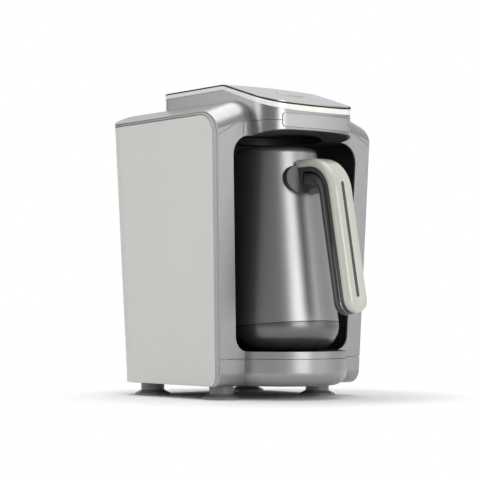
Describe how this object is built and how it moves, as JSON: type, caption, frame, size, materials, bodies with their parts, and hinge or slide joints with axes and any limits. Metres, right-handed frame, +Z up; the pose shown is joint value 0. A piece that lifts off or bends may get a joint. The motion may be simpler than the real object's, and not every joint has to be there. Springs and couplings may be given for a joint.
{
  "type": "electric turkish coffee maker",
  "caption": "Countertop electric Turkish coffee maker: tapered body with an open bay, a leaning steel pot with a bent handle, a sloping head with a start button, and suction feet.",
  "frame": {"origin": "middle of the whole part's footprint, on the table", "axes": "+X to the right, +Y to the back and +Z up; the front with the pot's handle faces -Y"},
  "size_m": [0.1736, 0.2492, 0.2727],
  "materials": {
    "badge_silver": "satin",
    "black_bush": "matt",
    "button_cream": "satin",
    "capacitor_blue": "sleeved",
    "contact_brass": "plated",
    "cream_trim": "polished",
    "cup_plastic": "heat-proof moulding",
    "foot_rubber": "matt",
    "green_board": "solder mask over glass fibre",
    "handle_chrome": "bright",
    "handle_cream": "polished",
    "handle_dark": "satin",
    "heater_steel": "heat-tinted sheath",
    "lens_smoke": "smoked, polished",
    "lid_silver": "satin silver lacquer",
    "light_ring": "frosted light guide",
    "pale_panel": "satin pale silver paint",
    "pot_steel": "fine brushed",
    "rear_plastic": "fine matt grain",
    "screw_steel": "zinc plated",
    "seal_rubber": "silicone",
    "silver_shell": "satin silver lacquer",
    "spreader_aluminium": "turned",
    "switch_black": "moulded",
    "terminal_green": "moulded",
    "tray_dark": "satin"
  },
  "bodies": {
    "appliance": {"badge_plate": "badge_silver", "base_plate": "rear_plastic", "button_light_ring": "light_ring", "button_switch": "switch_black", "buzzer": "switch_black", "capacitor": "capacitor_blue", "cavity_liner": "rear_plastic", "ceiling_cover": "rear_plastic", "control_board": "green_board", "control_board_screws": "screw_steel", "cord_inlet_bush": "black_bush", "foot_pins": "screw_steel", "frame_left": "silver_shell", "frame_right": "silver_shell", "front_fascia": "silver_shell", "lid": "lid_silver", "lid_gasket": "seal_rubber", "nose_casing": "silver_shell", "pot_socket": "cup_plastic", "pot_tray": "tray_dark", "power_board": "green_board", "power_board_screws": "screw_steel", "rear_cover": "rear_plastic", "rear_cover_screws": "screw_steel", "relay": "switch_black", "sensor_board": "green_board", "sensor_lens": "lens_smoke", "side_panel_left": "pale_panel", "side_panel_right": "pale_panel", "socket_contacts": "contact_brass", "suction_feet": "foot_rubber", "terminal_block": "terminal_green", "top_shell": "silver_shell", "transformer": "switch_black", "trim_ring": "cream_trim"},
    "pot": {"pot_vessel": "pot_steel", "pot_base_cup": "cup_plastic", "pot_seal": "seal_rubber", "heat_spreader": "spreader_aluminium", "heating_ring": "heater_steel", "thermostat": "heater_steel", "pot_plug": "cup_plastic", "plug_blades": "contact_brass", "handle_bracket": "handle_dark", "handle_cover": "handle_cream", "handle_strip": "handle_chrome", "handle_frame": "handle_dark", "handle_line": "handle_chrome", "handle_grip": "handle_dark"},
    "button": {"start_button": "button_cream", "switch_plunger": "switch_black"}
  },
  "joints": [
    {"name": "pot_slide", "type": "slide", "parent": "appliance", "child": "pot", "axis": [0, -1, 0], "range_m": [0, 0.14]},
    {"name": "start_button_press", "type": "slide", "parent": "appliance", "child": "button", "axis": [0, 0.2978, -0.9546], "range_m": [0, 0.0012], "stiffness_N_per_m": 400, "springref_m": -0.002}
  ]
}
